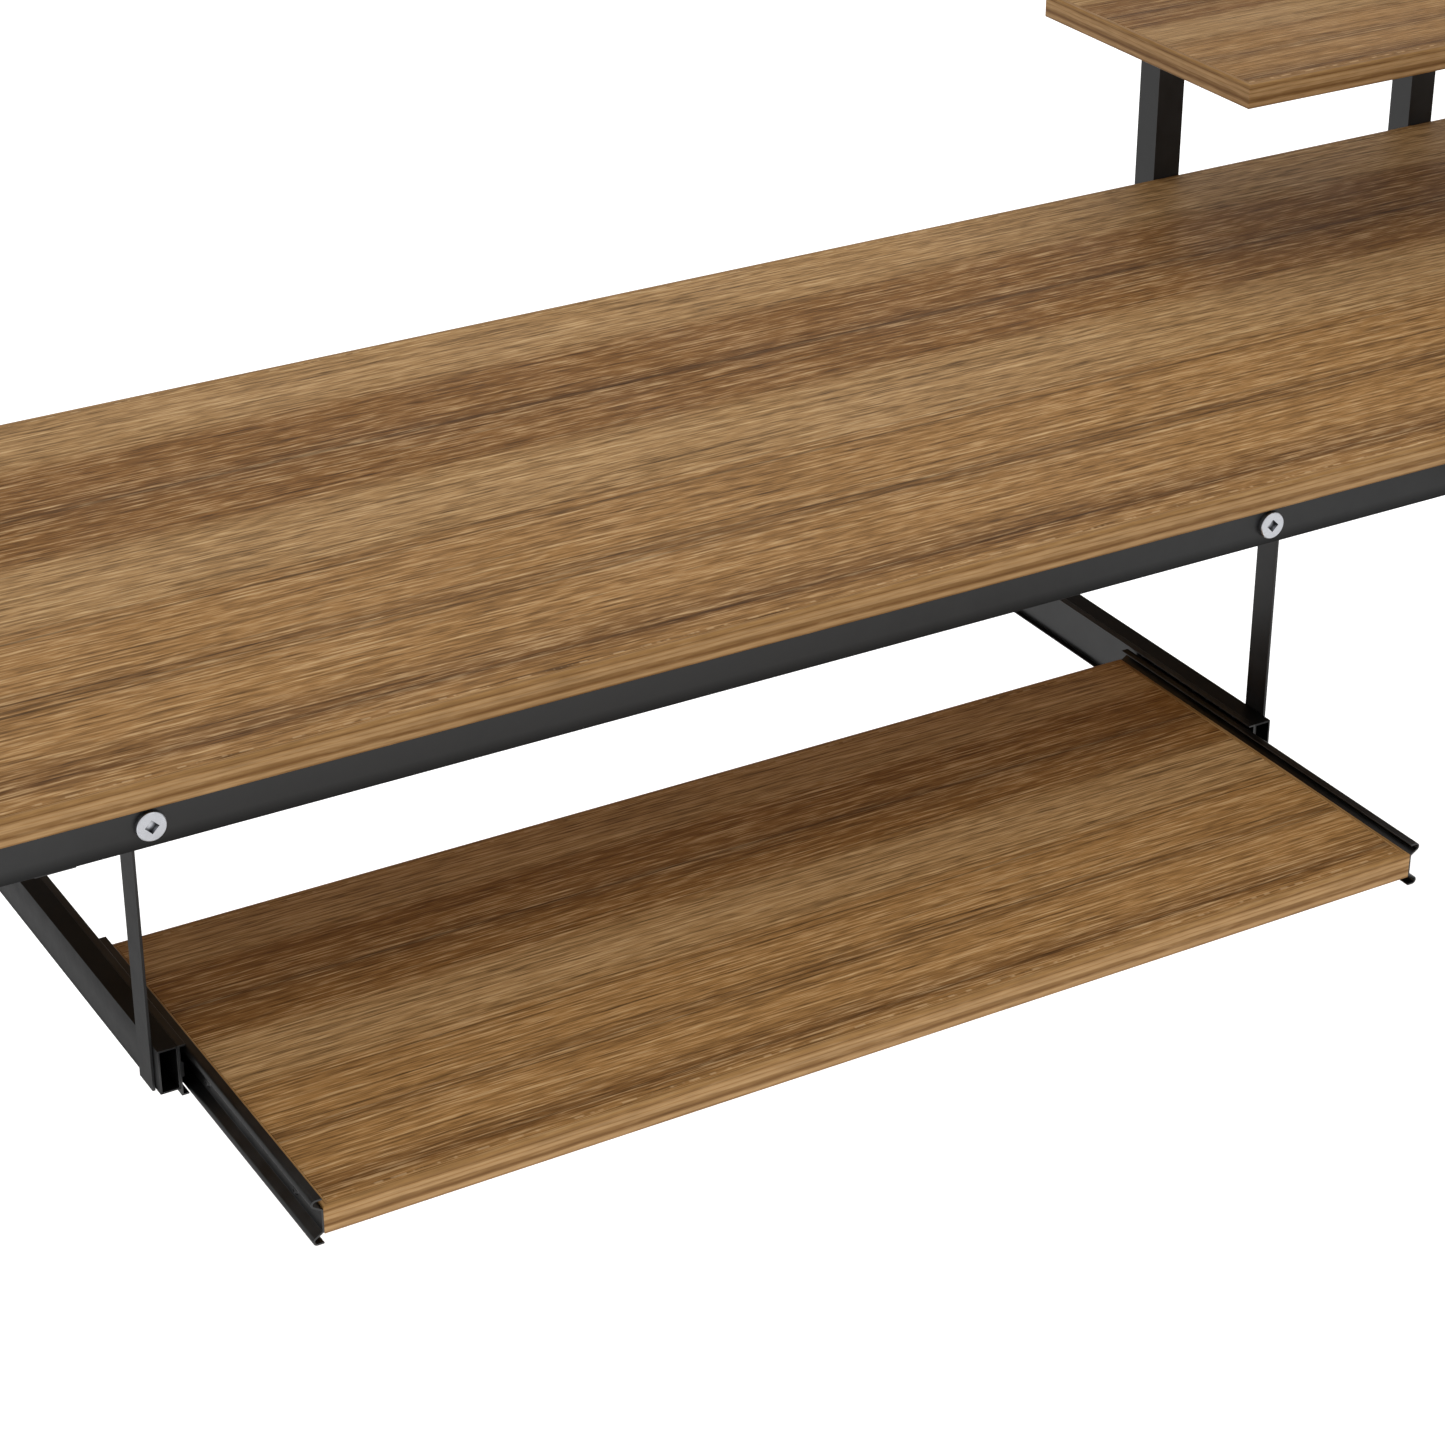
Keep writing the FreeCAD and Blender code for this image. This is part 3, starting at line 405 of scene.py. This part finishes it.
def edge_band(name, low, high, seed, gain):
    """The same print wrapped round the edge, as stripes that meet in a mitre at each corner."""
    tree = Tree(name)
    x, y, z = tree.axes(tree.position())
    from_side, from_end = insets(tree, x, y, low, high)
    on_side = tree.math("LESS_THAN", from_side, from_end)
    along = tree.plus(tree.times(x, tree.minus(1.0, on_side)), tree.times(y, on_side))
    wrap = tree.minus(tree.minus(high.z, z), tree.lesser(from_side, from_end))
    wander = tree.minus(printed(tree, along, wrap, EDGE_WANDER, seed), 0.5)
    moved = tree.scale_and_add(wander, EDGE_SHIFT, wrap)
    span = BAND_WIDTH + BOARD
    share = tree.math("DIVIDE", tree.plus(moved, BAND_WIDTH), span)
    stops = [((mm * MM + BAND_WIDTH) / span, shade(*tone)) for mm, tone in EDGE_STRIPES]
    stripes = tree.ramp(share, stops)
    colour, height, pores = fibres(tree, stripes, along, wrap, seed, EDGE_FIBRE_STRENGTH)
    rough = tree.scale_and_add(pores, EDGE_PORE_ROUGHNESS, EDGE_ROUGHNESS)
    return tree.finish(tree.tint(colour, gain), rough, tree.bump(height, EDGE_RELIEF, 0.7),
                       Specular_IOR_Level=WOOD_SPECULAR)


# ---------------------------------------------------------------- metal, plastic, rubber

# How bright a black coat stays at a glancing angle.
GLANCE = (0.52, 0.52, 0.52, 1)
MOTTLE_WAVES = 45
WEAR_RADIUS = 0.7 * MM
WEAR_AMOUNT = 0.6
# The dot product of the rounded and the flat normal, from fully worn to not worn.
WEAR_EDGE = (0.80, 0.995)
SPECK_WAVES = 3500
BRUSH_RELIEF = 0.005 * MM
HOLLOW_SHADE_REACH = 3 * MM
# How open a place is to its surroundings, from a hollow to a free face, for the painted shade in
# the hollows.
HOLLOW_SHADE_FADE = (0.45, 0.95)
CLOUD_WAVES = 60


def coated(name, colour, worn, roughness, grain, relief, painted_shade_by_height=None):
    """A dark metallic coat: fine orange peel, uneven gloss, and a little wear on the edges.
    The last argument lists (height, brightness) pairs of painted shade, which darken the coat by
    height and lighten it a little where a brightness is above 1."""
    tree = Tree(name)
    place = tree.position()
    peel = tree.noise(place, grain, 3.0, 0.6)
    mottle = tree.noise(place, MOTTLE_WAVES, 4.0, 0.6)
    rounded = tree.add("ShaderNodeBevel", {"Radius": WEAR_RADIUS}, samples=4).outputs[0]
    flat = tree.add("ShaderNodeNewGeometry", {}).outputs["Normal"]
    turn = tree.add("ShaderNodeVectorMath", {0: rounded, 1: flat}, operation="DOT_PRODUCT")
    edge = tree.remap(turn.outputs["Value"], *WEAR_EDGE, 1, 0)
    rubbed = tree.times(edge, tree.remap(mottle, 0.35, 0.65, 0.25, 1.0))
    base = tree.mix(tree.spread(mottle, 0, 1), scaled(colour, 0.96), scaled(colour, 1.04))
    # Painted shade: the base colour is multiplied by a grey ramp over the part's height.
    if painted_shade_by_height:
        low, high = painted_shade_by_height[0][0], painted_shade_by_height[-1][0]
        share = tree.remap(tree.axes(place)["Z"], low, high, 0, 1)
        stops = [((height - low) / (high - low), (tone, tone, tone, 1)) for height, tone in painted_shade_by_height]
        base = tree.mix(1.0, base, tree.ramp(share, stops), "MULTIPLY")
    base = tree.mix(tree.times(rubbed, WEAR_AMOUNT), base, shade(*worn))
    rough = tree.plus(tree.spread(mottle, -0.05, 0.05),
                      tree.scale_and_add(peel, 0.08, roughness - 0.04))
    return tree.finish(base, rough, tree.bump(peel, relief, 0.5), Metallic=1.0,
                       Specular_Tint=GLANCE)


def bare_metal(name, colour, roughness, brushing, shadow):
    """Plated or bare metal with faint brushing and specks, and painted shade darkening its colour
    in its hollows.
    """
    tree = Tree(name)
    place = tree.position()
    stretched = tree.vector(*[tree.times(axis, waves)
                              for axis, waves in zip(tree.axes(place), brushing)])
    lines = tree.noise(stretched, 1.0, 3.0, 0.6)
    specks = tree.noise(place, SPECK_WAVES, 2.0, 0.6)
    base = tree.mix(tree.spread(specks, 0, 1), scaled(colour, 0.95), shade(*colour))
    # Painted shade: the colour is darkened where ambient occlusion finds other surfaces close by.
    occlusion = tree.add("ShaderNodeAmbientOcclusion", {"Distance": HOLLOW_SHADE_REACH}, samples=8)
    base = tree.tint(base, tree.remap(occlusion.outputs["AO"], *HOLLOW_SHADE_FADE, shadow, 1.0))
    rough = tree.plus(tree.spread(lines, -0.04, 0.04), roughness)
    return tree.finish(base, rough, tree.bump(lines, BRUSH_RELIEF, 0.3), Metallic=1.0)


def moulded(name, colour, roughness, grain, relief):
    """Moulded plastic or rubber with a spark-eroded grain."""
    tree = Tree(name)
    place = tree.position()
    cells = tree.add("ShaderNodeTexVoronoi", {"Vector": place, "Scale": grain}).outputs[0]
    cloud = tree.noise(place, CLOUD_WAVES, 3.0, 0.6)
    base = tree.mix(tree.spread(cloud, 0, 1), shade(*colour), scaled(colour, 1.2))
    rough = tree.spread(cloud, roughness - 0.05, roughness + 0.05)
    return tree.finish(base, rough, tree.bump(cells, relief, 0.6), Specular_IOR_Level=0.4)


def floor_material():
    tree = Tree("floor_paper")
    cloud = tree.noise(tree.position(), 1.5, 3.0, 0.5)
    base = tree.mix(cloud, shade(236, 236, 236), shade(240, 240, 240))
    return tree.finish(base, 0.75, tree.bump(cloud, 0.2 * MM, 0.2),
                       Emission_Color=WHITE, Emission_Strength=FLOOR_GLOW)


# ---------------------------------------------------------------- meshes

ROLL = 1.6 * MM
ROLL_STEPS = 6
UNDER_ROLL = 0.6 * MM
UNDER_STEPS = 3
SEAM = 0.25 * MM
SHARP_ANGLE = math.radians(40)

WELD_DISTANCE = 0.002 * MM
FLAT_ANGLE = math.radians(0.5)
EASE_ANGLE = math.radians(38)
EASE_SEGMENTS = 2


def mesh_object(name, points, faces):
    mesh = bpy.data.meshes.new(name)
    mesh.from_pydata(points, [], faces)
    mesh.validate()
    mesh.shade_smooth()
    mesh.set_sharp_from_angle(angle=SHARP_ANGLE)
    return link(bpy.data.objects.new(name, mesh))


def corners(low, high):
    """The corners of a rectangle, each with the directions that lead into it."""
    return [(low.x, low.y, 1, 1), (high.x, low.y, -1, 1),
            (high.x, high.y, -1, -1), (low.x, high.y, 1, -1)]


def ring(name, low, high, profile):
    """Sweeps a closed profile of (inset, height) points round a rectangle, with mitred corners."""
    points = [(x + sx * inset, y + sy * inset, z) for x, y, sx, sy in corners(low, high)
              for inset, z in profile]
    count = len(profile)
    faces = []
    for side in range(4):
        here, there = side * count, (side + 1) % 4 * count
        for step in range(count):
            following = (step + 1) % count
            faces.append((here + step, there + step, there + following, here + following))
    return mesh_object(name, points, faces)


def arc(centre, radius, start, stop, steps):
    turns = [math.radians(start + (stop - start) * i / steps) for i in range(steps + 1)]
    return [(centre[0] + radius * math.cos(turn), centre[1] + radius * math.sin(turn))
            for turn in turns]


def band_mesh(name, low, high):
    """The wrapped edge: rolled over at the top, eased at the bottom, with a fine seam inside."""
    top, bottom = high.z, low.z
    profile = [(BAND_WIDTH, bottom)]
    profile += arc((UNDER_ROLL, bottom + UNDER_ROLL), UNDER_ROLL, 270, 180, UNDER_STEPS)
    profile += arc((ROLL, top - ROLL), ROLL, 180, 90, ROLL_STEPS)
    profile += [(BAND_WIDTH - SEAM, top), (BAND_WIDTH, top - SEAM)]
    return ring(name, low, high, profile)


def core_mesh(name, low, high):
    """The flat of the board, inside its band, with eased top edges that leave a fine seam."""
    layers = [(BAND_WIDTH, low.z), (BAND_WIDTH, high.z - SEAM), (BAND_WIDTH + SEAM, high.z)]
    points = [(x + sx * inset, y + sy * inset, z) for inset, z in layers
              for x, y, sx, sy in corners(low, high)]
    faces = [(3, 2, 1, 0)]
    for layer in (0, 4):
        for side in range(4):
            following = (side + 1) % 4
            faces.append((layer + side, layer + following,
                          layer + 4 + following, layer + 4 + side))
    faces.append((8, 9, 10, 11))
    return mesh_object(name, points, faces)


def make_board(node, body, grain, seed, gain):
    low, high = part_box(node + "_edge")
    core = core_mesh(node + "_board", low, high)
    core.data.materials.append(walnut(node + "_print", low, high, grain, seed, gain))
    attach(core, body)
    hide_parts(node)
    band = band_mesh(node + "_band", low, high)
    band.data.materials.append(edge_band(node + "_edge_print", low, high, seed, gain))
    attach(band, body)
    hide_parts(node + "_edge")


def soften(node, width):
    """Eases a CAD part's sharp edges without touching its own mesh."""
    weld = node.modifiers.new("weld", "WELD")
    weld.merge_threshold = WELD_DISTANCE
    flat = node.modifiers.new("flat", "DECIMATE")
    flat.decimate_type = "DISSOLVE"
    flat.angle_limit = FLAT_ANGLE
    ease = node.modifiers.new("ease", "BEVEL")
    ease.width = width
    ease.segments = EASE_SEGMENTS
    ease.limit_method = "ANGLE"
    ease.angle_limit = EASE_ANGLE
    ease.use_clamp_overlap = True
    ease.miter_outer = "MITER_ARC"
    even = node.modifiers.new("even", "WEIGHTED_NORMAL")
    even.keep_sharp = True


# ---------------------------------------------------------------- finishes

# Colour, worn colour, roughness, grain in waves per metre, relief.
POWDER = ((60, 60, 60), (96, 96, 96), 0.42, 1500, 0.02 * MM)
SLIDE_COAT = ((64, 64, 64), (104, 104, 104), 0.34, 2200, 0.01 * MM)
OXIDE = ((50, 50, 50), (110, 110, 112), 0.38, 2500, 0.01 * MM)
# Colour, roughness, brushing in waves per metre on each axis, brightness of the painted shade in
# the hollows.
ZINC = ((186, 188, 193), 0.30, (300, 300, 300), 0.25)
OILED_BALL = ((44, 44, 44), 0.35, (400, 400, 400), 0.5)
BLACKENED = ((46, 46, 46), 0.40, (900, 40, 900), 0.5)
# Colour, roughness, grain in waves per metre, relief.
PLASTIC = ((24, 24, 24), 0.50, 2200, 0.03 * MM)
RUBBER = ((18, 18, 18), 0.72, 1500, 0.05 * MM)

FINISHES = {
    "black_steel": coated("black_powder", *POWDER),
    "black_slide_steel": coated("black_ecoat", *SLIDE_COAT),
    "black_fastener": coated("black_oxide", *OXIDE),
    "zinc_bolt": bare_metal("bright_zinc", *ZINC),
    "ball_steel": bare_metal("ball_oiled", *OILED_BALL),
    "cage_steel": bare_metal("cage_blackened", *BLACKENED),
    "black_plastic": moulded("plastic_grain", *PLASTIC),
    "rubber_buffer": moulded("rubber_grain", *RUBBER),
}
SOFTENED = {"black_steel": 0.5 * MM, "black_slide_steel": 0.3 * MM, "black_plastic": 0.4 * MM}

# Painted shade: the front rail's coat is darkened towards its lower edge, and the channels' coat
# towards their lower edge and their top, with a faint painted light between.
rail_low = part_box("front_rail")[0].z
rail_painted_shade = [(rail_low, 0.40), (rail_low + 9 * MM, 0.95), (rail_low + 25 * MM, 1.0)]
rail_coat_with_painted_shade = coated("rail_powder_painted_shade", *POWDER, rail_painted_shade)
channel_low, channel_high = (point.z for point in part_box("left_channel"))
channel_painted_shade = [(channel_low, 0.30), (channel_low + 4 * MM, 0.90),
                 (channel_low + 14 * MM, 1.05), (channel_high, 0.55)]
channel_coat_with_painted_shade = coated("channel_powder_painted_shade", *POWDER, channel_painted_shade)
COATS_WITH_PAINTED_SHADE = {"front_rail": rail_coat_with_painted_shade, "left_channel": channel_coat_with_painted_shade, "right_channel": channel_coat_with_painted_shade}


# ---------------------------------------------------------------- build

make_camera()
make_sky()
make_softbox()

floor_corners = [(-FLOOR_HALF, -FLOOR_HALF, 0), (FLOOR_HALF, -FLOOR_HALF, 0),
                 (FLOOR_HALF, FLOOR_HALF, 0), (-FLOOR_HALF, FLOOR_HALF, 0)]
floor = mesh_object("floor", floor_corners, [(0, 1, 2, 3)])
floor.data.materials.append(floor_material())

make_board("main_top", "frame", "X", 2.0, WOOD_GAIN)
make_board("return_top", "frame", "Y", 61.0, WOOD_GAIN)
make_board("monitor_shelf", "frame", "X", 23.0, SHELF_GAIN)
make_board("keyboard_tray", "tray", "X", 41.0, TRAY_GAIN)

for label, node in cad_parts.items():
    slot = node.data.materials[0].name
    if slot in FINISHES:
        # The front rail and the channels take the coats with painted shade.
        node.data.materials[0] = COATS_WITH_PAINTED_SHADE.get(label, FINISHES[slot])
    if slot in SOFTENED:
        soften(node, SOFTENED[slot])

bpy.context.scene.view_settings.view_transform = "Standard"
